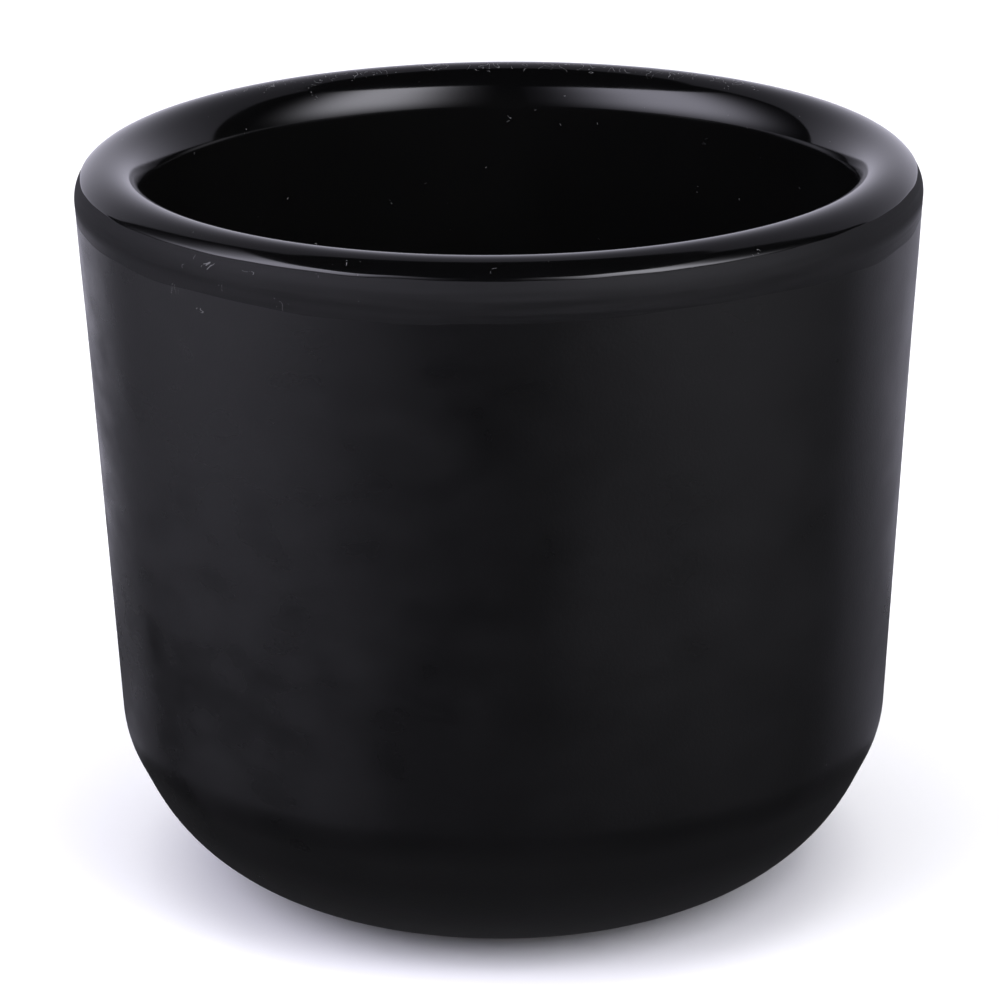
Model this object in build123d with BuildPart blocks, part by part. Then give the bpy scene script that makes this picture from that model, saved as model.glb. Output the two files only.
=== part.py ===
"""An empty candle jar: a thick-walled clay cup with the glaze layers that are fired onto it.

The origin is the centre of the foot, on the surface that the jar stands on, and +Z is up. Every piece
is a body of revolution about Z, so each section is drawn on the XZ plane, where X is the radius.

The clay is drawn first. A layer on it follows the same tangent arcs about the same centres, and only the
radii grow or shrink by the layer's thickness, so that clay and layers are parallel everywhere.
"""

import os
from math import cos, radians, sin, tan

from build123d import *

# Driving dimensions: the whole jar, in mm and degrees
JAR_DIAMETER = 90.0
JAR_HEIGHT = 79.7
WALL_DRAFT = 3.15  # the outer wall widens upwards
BEVEL_SLOPE = 64.0  # the cone between the foot rounding and the wall, from the horizontal

# Layers
COAT = 0.3  # matte coat on the outside
BAND = 0.1  # second pass of matte coat under the rim
GLAZE = 0.45  # gloss glaze in the inside and over the rim

# Clay roundings
FOOT_ROUND = 21.0
CREASE_ROUND = 11.7
RIM_ROUND = 3.3
LIP_ROUND = 3.2  # the rim's rounding towards the inside
THROAT_ROUND = 5.0
INNER_CORNER_ROUND = 14.0

# Foot
FOOT_RADIUS = 20.1  # outer edge of the flat ring that the jar stands on
RECESS_RADIUS = 16.5
RECESS_DEPTH = 1.5
RECESS_EDGE_ROUND = 0.4

# Inside
INNER_DRAFT = 2.5
FLOOR_HEIGHT = 7.0  # top of the clay floor
LIP_TURN = 45.0  # how far the lip's own arc turns before the throat's takes over

# Edges of the layers, as the direction of the surface's normal: -90 is down, 0 is out and 90 is up
COAT_LOWER_EDGE = -76.0
GLAZE_LINE = 34.0
BASE_COAT_EDGE = 25.0
BAND_DEPTH = 6.0  # the band's lower edge, below the crest
GLAZE_EDGE_ROUND = 0.3

# Arc centres, as (radius, height)
RIM_CENTRE = (JAR_DIAMETER / 2 - BAND - COAT - RIM_ROUND, JAR_HEIGHT - GLAZE - RIM_ROUND)
LIP_CENTRE = (RIM_CENTRE[0], JAR_HEIGHT - GLAZE - LIP_ROUND)
FOOT_CENTRE = (FOOT_RADIUS, FOOT_ROUND)
RECESS_CENTRE = (RECESS_RADIUS - RECESS_DEPTH, 0)


def from_centre(centre, distance, angle):
    """The point at a distance from a centre, along an angle in the section."""
    return (
        centre[0] + distance * cos(radians(angle)),
        centre[1] + distance * sin(radians(angle)),
    )


def reach(point, angle):
    """How far a point lies along an angle: the same for every point on a line square to it."""
    return point[0] * cos(radians(angle)) + point[1] * sin(radians(angle))


def meeting_point(angle_a, reach_a, angle_b, reach_b):
    """The point whose reach along angle_a is reach_a and along angle_b is reach_b."""
    spread = sin(radians(angle_b - angle_a))
    return (
        (reach_a * sin(radians(angle_b)) - reach_b * sin(radians(angle_a))) / spread,
        (reach_b * cos(radians(angle_a)) - reach_a * cos(radians(angle_b))) / spread,
    )


# The crease's arc is tangent to the bevel and to the wall
BEVEL_NORMAL = BEVEL_SLOPE - 90
CREASE_CENTRE = meeting_point(
    BEVEL_NORMAL,
    reach(FOOT_CENTRE, BEVEL_NORMAL) + FOOT_ROUND - CREASE_ROUND,
    -WALL_DRAFT,
    reach(RIM_CENTRE, -WALL_DRAFT) + RIM_ROUND - CREASE_ROUND,
)

# The throat's arc takes over from the lip's where the lip has made its turn
LIP_END_NORMAL = 90 + LIP_TURN
THROAT_CENTRE = from_centre(LIP_CENTRE, LIP_ROUND - THROAT_ROUND, LIP_END_NORMAL)

# The inner corner's arc is tangent to the inner wall and to the floor
INNER_CORNER_CENTRE = meeting_point(
    -INNER_DRAFT,
    reach(THROAT_CENTRE, -INNER_DRAFT) - THROAT_ROUND - INNER_CORNER_ROUND,
    -90,
    -FLOOR_HEIGHT - INNER_CORNER_ROUND,
)


def draw_outside(layer, start_normal, end_normal):
    """Draw the outside, raised by a layer, from the foot's rounding to the rim's, and return its ends."""
    foot = CenterArc(FOOT_CENTRE, FOOT_ROUND + layer, start_normal, BEVEL_NORMAL - start_normal)
    crease = CenterArc(CREASE_CENTRE, CREASE_ROUND + layer, BEVEL_NORMAL, -WALL_DRAFT - BEVEL_NORMAL)
    rim = CenterArc(RIM_CENTRE, RIM_ROUND + layer, -WALL_DRAFT, end_normal + WALL_DRAFT)
    Line(foot @ 1, crease @ 0)
    Line(crease @ 1, rim @ 0)
    return foot @ 0, rim @ 1


def draw_inside(layer):
    """Draw the inside, raised by a layer, from the crest of the rim to the axis, and return its end."""
    CenterArc(LIP_CENTRE, LIP_ROUND + layer, 90, LIP_TURN)
    throat = CenterArc(
        THROAT_CENTRE, THROAT_ROUND + layer, LIP_END_NORMAL, 180 - INNER_DRAFT - LIP_END_NORMAL
    )
    corner = CenterArc(INNER_CORNER_CENTRE, INNER_CORNER_ROUND - layer, -INNER_DRAFT, INNER_DRAFT - 90)
    Line(throat @ 1, corner @ 0)
    floor = Line(corner @ 1, (0, FLOOR_HEIGHT + layer))
    return floor @ 1


def wall_point(layer, height):
    """The point at a height on the straight outer wall, raised by a layer."""
    wall_reach = reach(RIM_CENTRE, -WALL_DRAFT) + RIM_ROUND + layer
    return (wall_reach / cos(radians(WALL_DRAFT)) + height * tan(radians(WALL_DRAFT)), height)


# The clay cup, with its recess and the flat ring that it stands on
with BuildPart() as clay_body:
    with BuildSketch(Plane.XZ) as clay_section:
        with BuildLine():
            ring_outer_edge, crest = draw_outside(0, -90, 90)
            floor_middle = draw_inside(0)
            recess = CenterArc(RECESS_CENTRE, RECESS_DEPTH, 90, -90)
            Polyline(floor_middle, (0, RECESS_DEPTH), recess @ 0)
            Line(recess @ 1, ring_outer_edge)
        make_face()
        ring_inner_corner = clay_section.vertices().sort_by_distance((RECESS_RADIUS, 0))[0]
        fillet(ring_inner_corner, radius=RECESS_EDGE_ROUND)
    revolve(axis=Axis.Z)

# The gloss glaze: the whole inside, over the rim and down to the glaze line, where its edge is rounded
with BuildPart() as liner_glaze:
    with BuildSketch(Plane.XZ) as liner_section:
        with BuildLine():
            for layer in (0, GLAZE):
                CenterArc(RIM_CENTRE, RIM_ROUND + layer, GLAZE_LINE, 90 - GLAZE_LINE)
                draw_inside(layer)
            edge_inner_point = from_centre(RIM_CENTRE, RIM_ROUND, GLAZE_LINE)
            edge_outer_point = from_centre(RIM_CENTRE, RIM_ROUND + GLAZE, GLAZE_LINE)
            Line(edge_inner_point, edge_outer_point)
            Line((0, FLOOR_HEIGHT), (0, FLOOR_HEIGHT + GLAZE))
        make_face()
        edge_corner = liner_section.vertices().sort_by_distance(edge_outer_point)[0]
        fillet(edge_corner, radius=GLAZE_EDGE_ROUND)
    revolve(axis=Axis.Z)

# The matte coat: the outside, from its wiped edge above the foot up to the glaze line
with BuildPart() as matte_coat:
    with BuildSketch(Plane.XZ):
        with BuildLine():
            clay_ends = draw_outside(0, COAT_LOWER_EDGE, GLAZE_LINE)
            coat_ends = draw_outside(COAT, COAT_LOWER_EDGE, GLAZE_LINE)
            for clay_end, coat_end in zip(clay_ends, coat_ends):
                Line(clay_end, coat_end)
        make_face()
    revolve(axis=Axis.Z)

# The second pass of the coat: a thin band from the glaze line down to its own faint edge
with BuildPart() as overlap_band:
    with BuildSketch(Plane.XZ):
        with BuildLine():
            band_foot = JAR_HEIGHT - BAND_DEPTH
            for layer in (COAT, COAT + BAND):
                turn = CenterArc(RIM_CENTRE, RIM_ROUND + layer, -WALL_DRAFT, GLAZE_LINE + WALL_DRAFT)
                Line(wall_point(layer, band_foot), turn @ 0)
            Line(wall_point(COAT, band_foot), wall_point(COAT + BAND, band_foot))
            Line(
                from_centre(RIM_CENTRE, RIM_ROUND + COAT, GLAZE_LINE),
                from_centre(RIM_CENTRE, RIM_ROUND + COAT + BAND, GLAZE_LINE),
            )
        make_face()
    revolve(axis=Axis.Z)

# The coat in the recess under the foot, wiped back from the ring
with BuildPart() as base_coat:
    with BuildSketch(Plane.XZ):
        with BuildLine():
            clay_side = CenterArc(RECESS_CENTRE, RECESS_DEPTH, BASE_COAT_EDGE, 90 - BASE_COAT_EDGE)
            open_side = CenterArc(RECESS_CENTRE, RECESS_DEPTH - COAT, BASE_COAT_EDGE, 90 - BASE_COAT_EDGE)
            Polyline(clay_side @ 1, (0, RECESS_DEPTH), (0, RECESS_DEPTH - COAT), open_side @ 1)
            Line(open_side @ 0, clay_side @ 0)
        make_face()
    revolve(axis=Axis.Z)

clay_body.part.label = "clay_body"
liner_glaze.part.label = "liner_glaze"
matte_coat.part.label = "matte_coat"
overlap_band.part.label = "overlap_band"
base_coat.part.label = "base_coat"

os.makedirs("parts", exist_ok=True)
export_step(clay_body.part, "parts/clay_body.step")
export_step(liner_glaze.part, "parts/liner_glaze.step")
export_step(matte_coat.part, "parts/matte_coat.step")
export_step(overlap_band.part, "parts/overlap_band.step")
export_step(base_coat.part, "parts/base_coat.step")
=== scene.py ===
"""The empty candle jar: visual model, studio and camera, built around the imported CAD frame."""

from math import cos, hypot, pi, radians, sin, sqrt, tan

import bmesh
import bpy
import numpy as np
from mathutils import Matrix, Vector


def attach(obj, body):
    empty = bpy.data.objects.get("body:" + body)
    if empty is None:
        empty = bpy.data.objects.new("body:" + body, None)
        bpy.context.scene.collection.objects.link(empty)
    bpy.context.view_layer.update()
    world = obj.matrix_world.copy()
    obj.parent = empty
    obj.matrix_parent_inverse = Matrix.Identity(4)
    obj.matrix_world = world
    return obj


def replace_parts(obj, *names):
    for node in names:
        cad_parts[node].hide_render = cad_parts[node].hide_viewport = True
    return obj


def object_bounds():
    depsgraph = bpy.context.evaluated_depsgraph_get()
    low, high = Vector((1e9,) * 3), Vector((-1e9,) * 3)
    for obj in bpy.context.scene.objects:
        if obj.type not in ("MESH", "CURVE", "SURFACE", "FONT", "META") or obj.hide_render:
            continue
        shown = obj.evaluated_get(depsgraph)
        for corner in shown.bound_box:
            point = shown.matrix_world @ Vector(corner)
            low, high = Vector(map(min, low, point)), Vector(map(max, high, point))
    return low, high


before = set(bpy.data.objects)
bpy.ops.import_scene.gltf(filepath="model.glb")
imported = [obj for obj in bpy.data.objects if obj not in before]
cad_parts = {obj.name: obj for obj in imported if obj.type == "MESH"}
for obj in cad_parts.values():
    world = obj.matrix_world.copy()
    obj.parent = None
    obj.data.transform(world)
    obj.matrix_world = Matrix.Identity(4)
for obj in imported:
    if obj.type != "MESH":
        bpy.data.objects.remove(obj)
CAD_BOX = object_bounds()

MM = 0.001

# ---------------------------------------------------------------------------------------------------------
# Dimensions: overall sizes come from the frame, and the rest are the CAD model's, in metres and degrees
# ---------------------------------------------------------------------------------------------------------
JAR_RADIUS = (CAD_BOX[1].x - CAD_BOX[0].x) / 2
JAR_HEIGHT = CAD_BOX[1].z - CAD_BOX[0].z
WALL_DRAFT = 3.15
BEVEL_NORMAL = -26.0
COAT = 0.3 * MM
BAND = 0.1 * MM
GLAZE = 0.45 * MM
FOOT_ROUND = 21.0 * MM
CREASE_ROUND = 11.7 * MM
RIM_ROUND = 3.3 * MM
LIP_ROUND = 3.2 * MM
THROAT_ROUND = 5.0 * MM
INNER_CORNER_ROUND = 14.0 * MM
FOOT_RADIUS = 20.1 * MM
RECESS_RADIUS = 16.5 * MM
RECESS_DEPTH = 1.5 * MM
INNER_DRAFT = 2.5
FLOOR_HEIGHT = 7.0 * MM
LIP_END_NORMAL = 135.0
COAT_LOWER_EDGE = -76.0
GLAZE_LINE = 34.0
BASE_COAT_EDGE = 25.0
BAND_DEPTH = 6.0 * MM


def from_centre(centre, distance, angle):
    """The section point at a distance from a centre, along an angle in degrees."""
    return np.array([centre[0] + distance * cos(radians(angle)), centre[1] + distance * sin(radians(angle))])


def reach(point, angle):
    """How far a section point lies along an angle."""
    return point[0] * cos(radians(angle)) + point[1] * sin(radians(angle))


def meeting_point(angle_a, reach_a, angle_b, reach_b):
    """The section point whose reach along angle_a is reach_a and along angle_b is reach_b."""
    spread = sin(radians(angle_b - angle_a))
    return np.array([
        (reach_a * sin(radians(angle_b)) - reach_b * sin(radians(angle_a))) / spread,
        (reach_b * cos(radians(angle_a)) - reach_a * cos(radians(angle_b))) / spread,
    ])


RIM_CENTRE = np.array([JAR_RADIUS - BAND - COAT - RIM_ROUND, JAR_HEIGHT - GLAZE - RIM_ROUND])
LIP_CENTRE = np.array([RIM_CENTRE[0], JAR_HEIGHT - GLAZE - LIP_ROUND])
FOOT_CENTRE = np.array([FOOT_RADIUS, FOOT_ROUND])
RECESS_CENTRE = np.array([RECESS_RADIUS - RECESS_DEPTH, 0.0])
CREASE_CENTRE = meeting_point(
    BEVEL_NORMAL,
    reach(FOOT_CENTRE, BEVEL_NORMAL) + FOOT_ROUND - CREASE_ROUND,
    -WALL_DRAFT,
    reach(RIM_CENTRE, -WALL_DRAFT) + RIM_ROUND - CREASE_ROUND,
)
THROAT_CENTRE = from_centre(LIP_CENTRE, LIP_ROUND - THROAT_ROUND, LIP_END_NORMAL)
INNER_CORNER_CENTRE = meeting_point(
    -INNER_DRAFT,
    reach(THROAT_CENTRE, -INNER_DRAFT) - THROAT_ROUND - INNER_CORNER_ROUND,
    -90,
    -FLOOR_HEIGHT - INNER_CORNER_ROUND,
)

# ---------------------------------------------------------------------------------------------------------
# Sections: lists of (radius, height, normal angle) along the bare clay, which the layers are raised from
# ---------------------------------------------------------------------------------------------------------
ARC_STEP = 0.5 * MM  # spacing of a section's points on its arcs
RIM_STEP = 0.2 * MM  # and on the lip, the throat, the recess and the band
WALL_STEP = 1.5 * MM  # and on its straight stretches
AROUND = 480  # points round the jar
HIDDEN_SHARE = 3  # a layer's hidden side has one point for this many on its seen side
SAME_POINT = 0.02 * RIM_STEP  # points closer than this are taken as one


def arc_run(centre, radius, start, end, step=ARC_STEP, hollow=False):
    """Clay points on an arc, from one normal angle to another.

    A hollow arc's normals point to its centre.
    """
    count = max(2, int(abs(radians(end - start)) * radius / step) + 1)
    run = []
    for angle in np.linspace(start, end, count):
        outward = angle - 180 if hollow else angle
        run.append((*from_centre(centre, radius, outward), angle))
    return run


def straight_run(start, end):
    """Clay points between two neighbouring runs' ends, which have the same normal."""
    start = np.array(start)
    stretch = np.array(end) - start
    count = max(2, int(hypot(stretch[0], stretch[1]) / WALL_STEP))
    return [tuple(start + stretch * k / count) for k in range(1, count)]


def joined(*runs):
    """One section from several runs, with the straight stretches filled in and doubled points left out."""
    section = list(runs[0])
    for run in runs[1:]:
        section += straight_run(section[-1], run[0])
        section += run
    section = np.array(section)
    gaps = np.hypot(*np.diff(section[:, :2], axis=0).T)
    return section[np.concatenate([[True], gaps > SAME_POINT])]


def outside_runs(start):
    """The outside from the normal angle start, by the foot, up to where the wall begins."""
    return (
        arc_run(FOOT_CENTRE, FOOT_ROUND, start, BEVEL_NORMAL),
        arc_run(CREASE_CENTRE, CREASE_ROUND, BEVEL_NORMAL, -WALL_DRAFT),
    )


def inside_runs():
    """The inside from the crest of the rim to the middle of the floor."""
    return (
        arc_run(LIP_CENTRE, LIP_ROUND, 90, LIP_END_NORMAL, RIM_STEP),
        arc_run(THROAT_CENTRE, THROAT_ROUND, LIP_END_NORMAL, 180 - INNER_DRAFT, RIM_STEP),
        arc_run(INNER_CORNER_CENTRE, INNER_CORNER_ROUND, 180 - INNER_DRAFT, 90, hollow=True),
        [(0.0, FLOOR_HEIGHT, 90.0)],
    )


# ---------------------------------------------------------------------------------------------------------
# Meshes
# ---------------------------------------------------------------------------------------------------------
AZIMUTHS = np.linspace(0, 2 * pi, AROUND, endpoint=False)
WELD_DISTANCE = 0.002 * MM
SHARP_ANGLE = 50.0  # edges that turn by more than this are shaded as sharp


def ripple(seed, low, high, size):
    """A smooth wobble round the jar, of about the given size, made of low to high waves per turn."""
    rng = np.random.RandomState(seed)
    total = np.zeros(AROUND)
    for waves in range(low, high + 1):
        strength = rng.normal() / sqrt(1 + waves / low)
        total += strength * np.cos(waves * AZIMUTHS + rng.uniform(0, 2 * pi))
    return size * total / np.std(total)


def surface(section, raised):
    """Points (around, along, 3) of a section turned round Z and raised along its normals.

    The section is (along, 3), or (around, along, 3) where it changes round the jar.
    """
    section = np.broadcast_to(section, (AROUND, *section.shape[-2:]))
    angle = np.radians(section[..., 2])
    radius = np.maximum(section[..., 0] + raised * np.cos(angle), 0)
    height = section[..., 1] + raised * np.sin(angle)
    turn = AZIMUTHS[:, None]
    return np.stack([radius * np.sin(turn), -radius * np.cos(turn), height], axis=2)


def weld(mesh):
    """Merge the points that meet on the axis and make the faces look outwards."""
    work = bmesh.new()
    work.from_mesh(mesh)
    bmesh.ops.remove_doubles(work, verts=work.verts, dist=WELD_DISTANCE)
    bmesh.ops.recalc_face_normals(work, faces=work.faces)
    work.to_mesh(mesh)
    work.free()


def layer_piece(name, section, raised, material):
    """A closed layer: its seen side is raised from the clay section, and its hidden side lies on the clay."""
    along = section.shape[-2]
    back = np.unique(np.append(np.arange(0, along, HIDDEN_SHARE), along - 1))[::-1]
    seen = surface(section, raised)
    hidden = surface(section[..., back, :], 0.0)
    ring = np.concatenate([seen, hidden], axis=1)
    around, count, _ = ring.shape
    first = np.arange(around)[:, None] * count
    second = np.roll(first, -1, axis=0)
    here = np.arange(count)[None, :]
    after = np.roll(here, -1, axis=1)
    quads = np.stack([first + here, second + here, second + after, first + after], axis=2).reshape(-1, 4)
    mesh = bpy.data.meshes.new(name)
    mesh.from_pydata(ring.reshape(-1, 3).tolist(), [], quads.tolist())
    weld(mesh)
    mesh.materials.append(material)
    mesh.shade_smooth()
    mesh.set_sharp_from_angle(angle=radians(SHARP_ANGLE))
    piece = bpy.data.objects.new(name, mesh)
    bpy.context.scene.collection.objects.link(piece)
    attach(piece, "root")
    return piece


def smooth_step(distance, width):
    """From 0 to 1 as a distance goes from 0 to width."""
    share = np.clip(distance / width, 0, 1)
    return share * share * (3 - 2 * share)


def along_section(section):
    """The distance of each point of a section from its start."""
    gaps = np.hypot(*np.diff(section[:, :2], axis=0).T)
    return np.concatenate([[0], np.cumsum(gaps)])


# ---------------------------------------------------------------------------------------------------------
# Layers
# ---------------------------------------------------------------------------------------------------------
UNDER = 0.02 * MM  # how far a layer's thin edge sinks into what it lies on
OVERLAP = 5  # how many degrees the coat and the band reach up under the glaze
FAR = 1.0  # a distance that is past everything that happens at an edge
EDGE_CROWDING = 1.3  # above 1, the points on the rim's rounding crowd towards its lower end
LINER_RIM_POINTS = 34
COAT_RIM_POINTS = 14
BAND_RIM_POINTS = 24

GLAZE_EDGE = 0.3 * MM  # how wide the rounding of the glaze's lower edge is
GLAZE_GATHER = 0.03 * MM  # how much thicker the glaze is just above its edge
GATHER_SPREAD = 0.8 * MM  # how far above its edge the glaze stays thicker
GLAZE_WAVE = 0.010 * MM  # how much thinner the glaze is in places, below the crest
CALM_MIDDLE = 5 * MM  # the waves fade out within this radius, because the points meet on the axis

WIPED_BACK = 0.5 * MM  # how far the coat is wiped back from its lower end
WIPED_RISE = 0.7 * MM  # and over what length it then thickens
RECESS_WIPED_BACK = 0.25 * MM  # the same for the coat in the recess
RECESS_WIPED_RISE = 0.5 * MM
SWELL_DEPTH = 22 * MM  # how far below the crest the coat starts to thicken towards the band
SWELL_RISE = 14 * MM  # and over what height it does
BAND_FADE = 2.5 * MM  # how far the band's mesh goes on below the band's depth
BAND_BURIED = 0.9 * MM  # how much of the band, at its foot, hasn't begun to rise out of the coat
BAND_STEP = 4 * MM  # how long the band's lower edge takes to rise out of the coat

GLAZE_LINES = GLAZE_LINE + ripple(11, 2, 7, 0.8) + ripple(12, 9, 40, 0.45)


def rim_section(lower_normals, upper_normal, count):
    """Clay points on the rim's rounding, from a normal angle that changes round the jar."""
    share = np.linspace(0, 1, count)[None, :] ** EDGE_CROWDING
    angles = lower_normals[:, None] + (upper_normal - lower_normals[:, None]) * share
    radius = RIM_CENTRE[0] + RIM_ROUND * np.cos(np.radians(angles))
    height = RIM_CENTRE[1] + RIM_ROUND * np.sin(np.radians(angles))
    return np.stack([radius, height, angles], axis=2)


def make_liner(material):
    """The gloss glaze: its edge on the rim's rounding, the crest, the inside and the inner floor."""
    rim = rim_section(GLAZE_LINES, 90.0, LINER_RIM_POINTS)[:, :-1]
    inside = joined(*inside_runs())
    section = np.concatenate([rim, np.broadcast_to(inside, (AROUND, *inside.shape))], axis=1)
    from_edge = RIM_ROUND * np.radians(section[..., 2] - GLAZE_LINES[:, None])
    on_rim = np.arange(section.shape[1])[None, :] < rim.shape[1]
    from_edge = np.where(on_rim, from_edge, RIM_ROUND * pi / 2)
    edge = np.sqrt(1 - (1 - np.clip(from_edge / GLAZE_EDGE, 0, 1)) ** 2)
    gather = GLAZE_GATHER * np.exp(-((from_edge / GATHER_SPREAD) ** 2))
    gather *= 1 + ripple(13, 3, 24, 0.3)[:, None]
    under = COAT + BAND - UNDER
    raised = under + (GLAZE + gather - under) * edge
    wave = -np.abs(ripple(14, 2, 9, GLAZE_WAVE))[:, None] * smooth_step(section[..., 0], CALM_MIDDLE)
    below_crest = smooth_step(JAR_HEIGHT - GLAZE - section[..., 1], RIM_ROUND / 2)
    raised = raised + wave * below_crest * (from_edge > 0)
    return layer_piece("gloss_liner", section, raised, material)


def make_coat(material):
    """The matte coat: from a wiped edge above the foot up the rounding, the bevel and the wall."""
    lower = joined(*outside_runs(COAT_LOWER_EDGE))
    rim_start = from_centre(RIM_CENTRE, RIM_ROUND, -WALL_DRAFT)
    wall = joined([tuple(lower[-1])], [(*rim_start, -WALL_DRAFT)])
    fixed = np.concatenate([lower, wall[1:-1]])
    rim = rim_section(np.full(AROUND, -WALL_DRAFT), GLAZE_LINE + OVERLAP, COAT_RIM_POINTS)
    section = np.concatenate([np.broadcast_to(fixed, (AROUND, *fixed.shape)), rim], axis=1)
    from_edge = np.concatenate([along_section(fixed), np.full(rim.shape[1], FAR)])[None, :]
    wiped = WIPED_BACK + ripple(21, 2, 9, 0.12 * MM) + ripple(22, 12, 40, 0.05 * MM)
    raised = -UNDER + (COAT + UNDER) * smooth_step(from_edge - wiped[:, None], WIPED_RISE)
    swell = (BAND - UNDER) * smooth_step(section[..., 1] - JAR_HEIGHT + SWELL_DEPTH, SWELL_RISE)
    return layer_piece("matte_outside", section, raised + swell, material)


def make_band(material):
    """The second pass of the coat: a thin band from under the glaze to an uneven lower edge."""
    foot = JAR_HEIGHT - BAND_DEPTH - BAND_FADE
    rim_start = from_centre(RIM_CENTRE, RIM_ROUND, -WALL_DRAFT)
    drop = rim_start[1] - foot
    start = (rim_start[0] - drop * tan(radians(WALL_DRAFT)), foot, -WALL_DRAFT)
    count = int(drop / RIM_STEP)
    wall = np.linspace(start, (*rim_start, -WALL_DRAFT), count)[:-1]
    rim = rim_section(np.full(AROUND, -WALL_DRAFT), GLAZE_LINE + OVERLAP, BAND_RIM_POINTS)
    section = np.concatenate([np.broadcast_to(wall, (AROUND, *wall.shape)), rim], axis=1)
    from_edge = section[..., 1] - foot
    edge = BAND_BURIED + ripple(31, 1, 5, 0.30 * MM) + ripple(32, 8, 30, 0.07 * MM)
    raised = COAT + BAND - 2 * UNDER * (1 - smooth_step(from_edge - edge[:, None], BAND_STEP))
    return layer_piece("coat_band", section, raised, material)


def make_recess_coat(material):
    """The coat in the recess under the foot, thinning out to a wiped edge."""
    section = joined(
        [(0.0, RECESS_DEPTH, 270.0)],
        arc_run(RECESS_CENTRE, RECESS_DEPTH, 270, 180 + BASE_COAT_EDGE, RIM_STEP, hollow=True),
    )
    from_edge = along_section(section)[-1] - along_section(section)
    wiped = RECESS_WIPED_BACK + ripple(41, 2, 14, 0.08 * MM)
    raised = -UNDER + (COAT + UNDER) * smooth_step(from_edge[None, :] - wiped[:, None], RECESS_WIPED_RISE)
    return layer_piece("recess_coat", section, raised, material)


# ---------------------------------------------------------------------------------------------------------
# Materials
# ---------------------------------------------------------------------------------------------------------
class Surface:
    """A node material with short calls for the nodes that the jar's surfaces use."""

    def __init__(self, name):
        self.material = bpy.data.materials.new(name)
        self.material.use_nodes = True
        self.tree = self.material.node_tree
        self.shader = self.tree.nodes["Principled BSDF"]
        self.place = self.add("ShaderNodeTexCoord").outputs["Object"]

    def add(self, kind, **settings):
        """A new node of a kind, with its properties set."""
        node = self.tree.nodes.new(kind)
        for key, value in settings.items():
            setattr(node, key, value)
        return node

    def feed(self, socket, value):
        """Link another node's output to a socket, or set the socket to a plain value."""
        if isinstance(value, bpy.types.NodeSocket):
            self.tree.links.new(value, socket)
        else:
            socket.default_value = value

    def math(self, operation, *values):
        """The result of a math operation."""
        node = self.add("ShaderNodeMath", operation=operation)
        for socket, value in zip(node.inputs, values):
            self.feed(socket, value)
        return node.outputs[0]

    def axes(self, vector):
        """The X, Y and Z of a vector."""
        split = self.add("ShaderNodeSeparateXYZ")
        self.feed(split.inputs[0], vector)
        return split.outputs

    def stretched(self, scale):
        """The object's own coordinates, scaled along each axis."""
        node = self.add("ShaderNodeMapping")
        self.feed(node.inputs["Vector"], self.place)
        node.inputs["Scale"].default_value = scale
        return node.outputs[0]

    def noise(self, size, detail=2.0, rough=0.5, place=None, distortion=0.0):
        """Noise from about 0 to 1 whose features are about size metres across."""
        node = self.add("ShaderNodeTexNoise")
        self.feed(node.inputs["Vector"], place or self.place)
        node.inputs["Scale"].default_value = 1 / size
        node.inputs["Detail"].default_value = detail
        node.inputs["Roughness"].default_value = rough
        node.inputs["Distortion"].default_value = distortion
        return node.outputs["Fac"]

    def between(self, value, low, high, to_low, to_high, smooth=False):
        """value's range from low to high, mapped to the range from to_low to to_high."""
        node = self.add("ShaderNodeMapRange", interpolation_type="SMOOTHSTEP" if smooth else "LINEAR")
        names = ("Value", "From Min", "From Max", "To Min", "To Max")
        for name, number in zip(names, (value, low, high, to_low, to_high)):
            self.feed(node.inputs[name], number)
        return node.outputs["Result"]

    def by_depth(self, height, start, end, reached=1.0, smooth=False):
        """From 0 at the depth start below the crest to reached at the depth end."""
        return self.between(height, JAR_HEIGHT - start, JAR_HEIGHT - end, 0, reached, smooth)

    def mix(self, share, first, second):
        """A colour, from first where the share is 0 to second where it is 1."""
        node = self.add("ShaderNodeMix", data_type="RGBA")
        self.feed(node.inputs["Factor"], share)
        self.feed(node.inputs[6], first)
        self.feed(node.inputs[7], second)
        return node.outputs[2]

    def bump(self, height, depth, under=None):
        """A bump from a height of 0 to 1 that stands for depth metres."""
        node = self.add("ShaderNodeBump")
        node.inputs["Strength"].default_value = 1.0
        node.inputs["Distance"].default_value = depth
        self.feed(node.inputs["Height"], height)
        if under:
            self.feed(node.inputs["Normal"], under)
        return node.outputs["Normal"]

    def specks(self, spacing, size, share):
        """1 on small round specks, about spacing metres apart, of which only a share are kept."""
        node = self.add("ShaderNodeTexVoronoi", feature="F1")
        self.feed(node.inputs["Vector"], self.place)
        node.inputs["Scale"].default_value = 1 / spacing
        near = self.math("LESS_THAN", node.outputs["Distance"], size / spacing)
        split = self.add("ShaderNodeSeparateColor")
        self.feed(split.inputs[0], node.outputs["Color"])
        return self.math("MULTIPLY", near, self.math("LESS_THAN", split.outputs[0], share))

    def fibres(self, size, width, mask):
        """1 on thin curled lines, but only where the mask is 1."""
        lines = self.math("ABSOLUTE", self.math("SUBTRACT", self.noise(size, 1.0, distortion=0.6), 0.5))
        return self.math("MULTIPLY", self.math("LESS_THAN", lines, width), mask)


GLAZE_IOR = 1.5


def rgba(red, green, blue):
    return (red, green, blue, 1.0)


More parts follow.
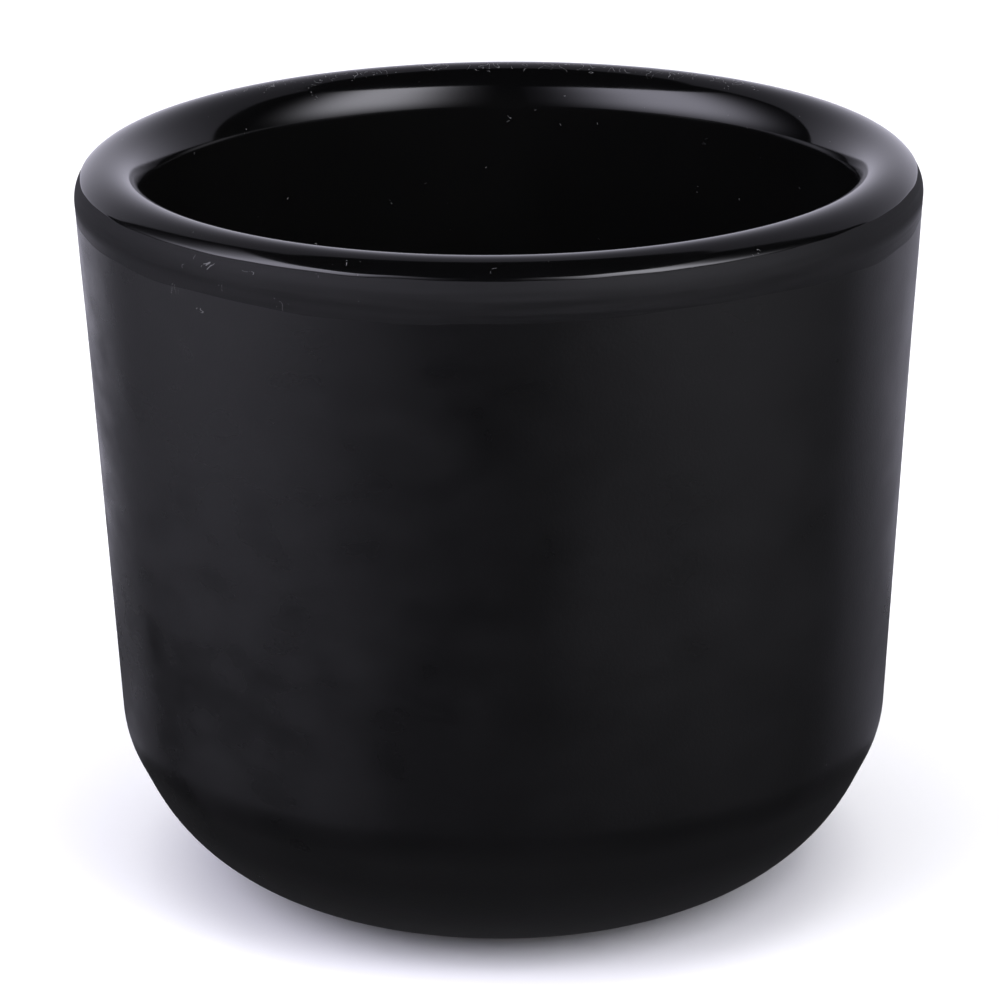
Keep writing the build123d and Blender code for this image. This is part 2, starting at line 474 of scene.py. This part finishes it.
def gloss_glaze():
    """Gloss black with orange peel, lighter and blotchy inside the jar as painted light in its shaded inside,
    and lint that is densest on the back of the crest.
    """
    made = Surface("gloss_glaze")
    haze = made.noise(9 * MM, 4.0)
    _, y, z = made.axes(made.place)
    on_crest = made.by_depth(z, 0.9 * MM, 0.2 * MM)
    at_back = made.between(y, 20 * MM, 34 * MM, 0, 1)
    settled = made.math("MULTIPLY", on_crest, at_back)
    linty = made.between(settled, 0, 1, 0.68, 0.46)
    lint_places = made.math("GREATER_THAN", made.noise(2.2 * MM, 3.0, 0.7), linty)
    lint = made.math(
        "MAXIMUM",
        made.specks(1.5 * MM, 0.06 * MM, made.between(settled, 0, 1, 0.05, 0.60)),
        made.fibres(1.5 * MM, 0.006, lint_places),
    )
    outer = made.mix(haze, rgba(0.0013, 0.0013, 0.0013), rgba(0.0023, 0.0023, 0.0024))
    # painted light: from 2 to 5 mm below the crest the glaze turns a lighter, blotchy grey that stands in for
    # light inside the shaded jar
    inside_light_blotches = made.noise(22 * MM, 3.0)
    inside_painted_light = made.mix(inside_light_blotches, rgba(0.0016, 0.0016, 0.0015), rgba(0.0054, 0.0054, 0.0051))
    inside = made.by_depth(z, 2 * MM, 5 * MM, smooth=True)
    colour = made.mix(inside, outer, inside_painted_light)
    made.feed(made.shader.inputs["Base Color"], made.mix(lint, colour, rgba(0.16, 0.16, 0.155)))
    rough = made.between(haze, 0.3, 0.7, 0.07, 0.12)
    made.feed(made.shader.inputs["Roughness"], made.math("MAXIMUM", rough, made.math("MULTIPLY", lint, 0.6)))
    peel = made.bump(made.noise(1.6 * MM, 2.0), 0.0012 * MM)
    made.feed(made.shader.inputs["Normal"], peel)
    made.shader.inputs["IOR"].default_value = GLAZE_IOR
    return made.material


def matte_surface(name, dark, light, rough_low, rough_high, streaks=0.0, specular=0.5, rounding_rough=0.0):
    """The matte black coat: cloudy colour and sheen, a fine satin grain, and some dust and lint.

    streaks adds thin level lines. The coat is rougher by rounding_rough on the rim's rounding than on the
    wall, and more uneven towards -X and away from the base.
    """
    made = Surface(name)
    x, _, z = made.axes(made.place)
    clouds = made.math("MULTIPLY", made.noise(13 * MM, 2.0, 0.45, distortion=0.2), 0.5)
    smudge_place = made.stretched((0.8, 0.8, 1.3))
    smudges = made.math("MULTIPLY", made.noise(5.5 * MM, 3.0, 0.5, place=smudge_place), 0.5)
    share = made.between(made.math("ADD", clouds, smudges), 0.34, 0.66, 0, 1)
    above_base = made.between(z, 12 * MM, 32 * MM, 0.45, 1)
    uneven = made.math("MULTIPLY", above_base, made.between(x, -30 * MM, 0, 1.0, 0.35))
    share = made.math("MULTIPLY_ADD", made.math("SUBTRACT", share, 0.5), uneven, 0.5)
    if streaks:
        lines = made.noise(1.0 * MM, 3.0, 0.6, place=made.stretched((0.05, 0.05, 1.6)))
        share = made.math("ADD", share, made.between(lines, 0.35, 0.65, -streaks, streaks))
    high = made.by_depth(z, 16 * MM, 5 * MM)
    handled = made.math("MULTIPLY", high, made.between(x, 5 * MM, -25 * MM, 0, 1))
    linty = made.between(handled, 0, 1, 0.78, 0.62)
    lint_places = made.math("GREATER_THAN", made.noise(2.6 * MM, 3.0, 0.7), linty)
    lint = made.math(
        "MAXIMUM",
        made.specks(2.6 * MM, 0.075 * MM, made.between(handled, 0, 1, 0.06, 0.45)),
        made.fibres(1.8 * MM, 0.005, lint_places),
    )
    colour = made.mix(share, dark, light)
    made.feed(made.shader.inputs["Base Color"], made.mix(lint, colour, rgba(0.11, 0.11, 0.11)))
    on_rounding = made.by_depth(z, 4.7 * MM, 3.6 * MM, rounding_rough)
    rough = made.between(share, 0, 1, rough_low, rough_high)
    made.feed(made.shader.inputs["Roughness"], made.math("ADD", rough, on_rounding))
    waves = made.bump(made.math("MULTIPLY", made.noise(11 * MM, 2.0), above_base), 0.015 * MM)
    dimples = made.bump(made.math("MULTIPLY", made.noise(3.5 * MM, 2.0), above_base), 0.016 * MM, waves)
    grain = made.bump(made.noise(0.32 * MM, 3.0, 0.6), 0.012 * MM, dimples)
    made.feed(made.shader.inputs["Normal"], grain)
    made.shader.inputs["Specular IOR Level"].default_value = specular
    made.shader.inputs["IOR"].default_value = GLAZE_IOR
    return made.material


def matte_coat():
    dark = rgba(0.0004, 0.0004, 0.0004)
    light = rgba(0.0048, 0.0047, 0.0051)
    return matte_surface("matte_coat", dark, light, 0.19, 0.42)


def band_coat():
    dark = rgba(0.0050, 0.0050, 0.0054)
    light = rgba(0.0084, 0.0083, 0.0089)
    return matte_surface(
        "band_coat", dark, light, 0.34, 0.43, streaks=0.5, specular=0.22, rounding_rough=0.26
    )


def recess_coat():
    dark = rgba(0.0120, 0.0120, 0.0130)
    light = rgba(0.0200, 0.0195, 0.0205)
    return matte_surface("recess_coat", dark, light, 0.50, 0.62)


def bare_clay():
    """Fired stoneware with darker grains of grog in it."""
    made = Surface("bare_clay")
    body = made.noise(4 * MM, 5.0, 0.6)
    grog = made.specks(0.9 * MM, 0.14 * MM, 0.45)
    colour = made.mix(body, rgba(0.36, 0.30, 0.245), rgba(0.50, 0.435, 0.365))
    made.feed(made.shader.inputs["Base Color"], made.mix(grog, colour, rgba(0.20, 0.15, 0.115)))
    made.feed(made.shader.inputs["Roughness"], made.between(body, 0.3, 0.7, 0.78, 0.92))
    made.feed(made.shader.inputs["Normal"], made.bump(made.noise(0.4 * MM, 4.0, 0.65), 0.03 * MM))
    return made.material


# ---------------------------------------------------------------------------------------------------------
# The jar
# ---------------------------------------------------------------------------------------------------------
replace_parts(make_liner(gloss_glaze()), "liner_glaze")
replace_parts(make_coat(matte_coat()), "matte_coat")
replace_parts(make_band(band_coat()), "overlap_band")
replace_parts(make_recess_coat(recess_coat()), "base_coat")
clay_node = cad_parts["clay_body"]
for slot in clay_node.material_slots:
    slot.material = bare_clay()

# ---------------------------------------------------------------------------------------------------------
# Studio
# ---------------------------------------------------------------------------------------------------------
AIM = Vector((0, 0, 40.7 * MM))  # the point that the camera and the glow patches are placed around
GLOW_DISTANCE = 0.8
PATCH_STEP = 6  # degrees between a glow patch's points
AMBIENT = 0.012
LEFT_TINT = (1.02, 1.0, 1.18, 1.0)  # the light from the left is bluer than the light from the right
RIGHT_TINT = (1.01, 1.0, 1.10, 1.0)
SOFTBOX_EDGE = (2.6, 4.0)  # sharpness
ANY_AZIMUTH = 1000  # a spread so wide that the azimuth makes next to no difference
FLOOR_HALF = 3.0
FLOOR_LIGHT_SIZE = 1.6
FLOOR_LIGHT_HEIGHT = 1.3
FLOOR_LIGHT_RADIANCE = 2.7


def towards(azimuth, elevation, distance):
    """The point seen from AIM at an azimuth, counted from -Y towards +X, and an elevation."""
    a = radians(azimuth)
    e = radians(elevation)
    return AIM + distance * Vector((sin(a) * cos(e), -cos(a) * cos(e), sin(e)))


def sheet(name, points, quads, material):
    """A piece of the studio, which isn't part of the jar."""
    mesh = bpy.data.meshes.new(name)
    mesh.from_pydata(points, [], quads)
    mesh.materials.append(material)
    piece = bpy.data.objects.new(name, mesh)
    bpy.context.scene.collection.objects.link(piece)
    return piece


def floor_material():
    made = Surface("pale_floor")
    tone = made.mix(made.noise(0.3, 3.0), rgba(0.86, 0.86, 0.86), rgba(0.90, 0.90, 0.90))
    made.feed(made.shader.inputs["Base Color"], tone)
    made.shader.inputs["Roughness"].default_value = 0.7
    made.shader.inputs["Specular IOR Level"].default_value = 0.1
    return made.material


def glow_material(name, radiance, hot_spot, spread, sharpness, rest, tint):
    """Light that falls off from a hot spot to the radiance rest.

    hot_spot, spread and sharpness are (along azimuth, along elevation). A sharpness of 2 fades evenly, and a
    higher one gives a flatter middle with a soft edge.
    """
    made = Surface(name)
    x, y, z = made.axes(made.place)
    azimuth = made.math("ARCTAN2", x, made.math("MULTIPLY", y, -1.0))
    elevation = made.math("ARCSINE", made.math("DIVIDE", z, GLOW_DISTANCE))
    total = 0.0
    for seen, hot, wide, power in zip((azimuth, elevation), hot_spot, spread, sharpness):
        offset = made.math("WRAP", made.math("SUBTRACT", seen, radians(hot)), -pi, pi)
        share = made.math("ABSOLUTE", made.math("DIVIDE", offset, radians(wide)))
        total = made.math("ADD", made.math("POWER", share, power), total)
    fall = made.math("EXPONENT", made.math("MULTIPLY", total, -1.0))
    glow = made.add("ShaderNodeEmission")
    glow.inputs["Color"].default_value = tint
    made.feed(glow.inputs["Strength"], made.between(fall, 0, 1, rest, radiance))
    made.tree.nodes.remove(made.shader)
    output = next(node for node in made.tree.nodes if node.type == "OUTPUT_MATERIAL")
    made.tree.links.new(glow.outputs[0], output.inputs["Surface"])
    return made.material


def glow_patch(
    name, azimuths, elevations, radiance, hot_spot, spread, sharpness=(2.0, 2.0), rest=0.0, tint=RIGHT_TINT
):
    """A curved panel round the jar, between two azimuths and two elevations. The camera doesn't see it."""
    across = int(abs(azimuths[1] - azimuths[0]) / PATCH_STEP) + 2
    up = int(abs(elevations[1] - elevations[0]) / PATCH_STEP) + 2
    points = []
    for elevation in np.linspace(*elevations, up):
        for azimuth in np.linspace(*azimuths, across):
            points.append(towards(azimuth, elevation, GLOW_DISTANCE) - AIM)
    quads = []
    for row in range(up - 1):
        for first in range(row * across, (row + 1) * across - 1):
            quads.append((first, first + 1, first + 1 + across, first + across))
    material = glow_material(name, radiance, hot_spot, spread, sharpness, rest, tint)
    piece = sheet(name, points, quads, material)
    piece.location = AIM
    piece.visible_camera = False
    piece.visible_shadow = False
    return piece


def make_floor():
    """The floor, and a broad light from above that only the floor receives."""
    half = FLOOR_HALF
    corners = [(-half, -half, 0), (half, -half, 0), (half, half, 0), (-half, half, 0)]
    floor = sheet("floor", corners, [(0, 1, 2, 3)], floor_material())
    floor.visible_glossy = False
    floor.visible_shadow = False
    light = bpy.data.lights.new("floor_light", "AREA")
    light.size = FLOOR_LIGHT_SIZE
    light.energy = FLOOR_LIGHT_RADIANCE * pi * light.size**2
    lamp = bpy.data.objects.new("floor_light", light)
    lamp.location = (0, 0, FLOOR_LIGHT_HEIGHT)
    lamp.visible_camera = False
    lamp.visible_glossy = False
    bpy.context.scene.collection.objects.link(lamp)
    lit = bpy.data.collections.new("lit_floor")
    lit.objects.link(floor)
    lamp.light_linking.receiver_collection = lit


def make_studio():
    """Two softboxes, their glow in a dark table, a backdrop, the floor and a faint ambient light.

    The table and the backdrop only show in reflections.
    """
    glow_patch("left_softbox", (-125, -10), (6, 54), 4.35, (-66, 42), (31, 33), SOFTBOX_EDGE, tint=LEFT_TINT)
    glow_patch("right_softbox", (0, 100), (6, 57), 5.7, (47, 48), (24, 37), SOFTBOX_EDGE)
    only_reflected = (
        glow_patch("left_table_glow", (-130, 0), (-45, -3), 0.84, (-71, -15), (42, 12), tint=LEFT_TINT),
        glow_patch("right_table_glow", (0, 110), (-45, -3), 0.50, (55, -15), (41, 12)),
        glow_patch("dark_table", (-180, 180), (-88, -20), 0.09, (0, -90), (ANY_AZIMUTH, 48), rest=0.02),
        glow_patch("backdrop", (112, 232), (-27, 61), 0.87, (180, 5), (50, 26), rest=0.22, tint=LEFT_TINT),
    )
    for piece in only_reflected:
        piece.visible_diffuse = False
    make_floor()
    world = bpy.data.worlds.new("studio")
    world.use_nodes = True
    world.node_tree.nodes["Background"].inputs["Color"].default_value = rgba(AMBIENT, AMBIENT, AMBIENT)
    bpy.context.scene.world = world
    bpy.context.scene.view_settings.view_transform = "Standard"


# The camera's distance was chosen, and the rest was fitted to the photo's outline at that distance
CAMERA_DISTANCE = 0.5
CAMERA_ELEVATION = 18.607
CAMERA_ASIDE = -0.178 * MM
CAMERA_ROLL = -0.55
CAMERA_LENS = 165.5

CAMERA_SENSOR = 36.0
CAMERA_CLIP = 0.01


def make_camera():
    """The camera, at the photo's viewing angle."""
    camera = bpy.data.objects.new("camera", bpy.data.cameras.new("camera"))
    camera.data.lens = CAMERA_LENS
    camera.data.sensor_width = CAMERA_SENSOR
    camera.data.clip_start = CAMERA_CLIP
    camera.location = towards(0, CAMERA_ELEVATION, CAMERA_DISTANCE) + Vector((CAMERA_ASIDE, 0, 0))
    tilt = Matrix.Rotation(radians(90 - CAMERA_ELEVATION), 4, "X")
    roll = Matrix.Rotation(radians(CAMERA_ROLL), 4, "Z")
    camera.rotation_euler = (tilt @ roll).to_euler()
    bpy.context.scene.collection.objects.link(camera)
    bpy.context.scene.camera = camera


make_studio()
make_camera()
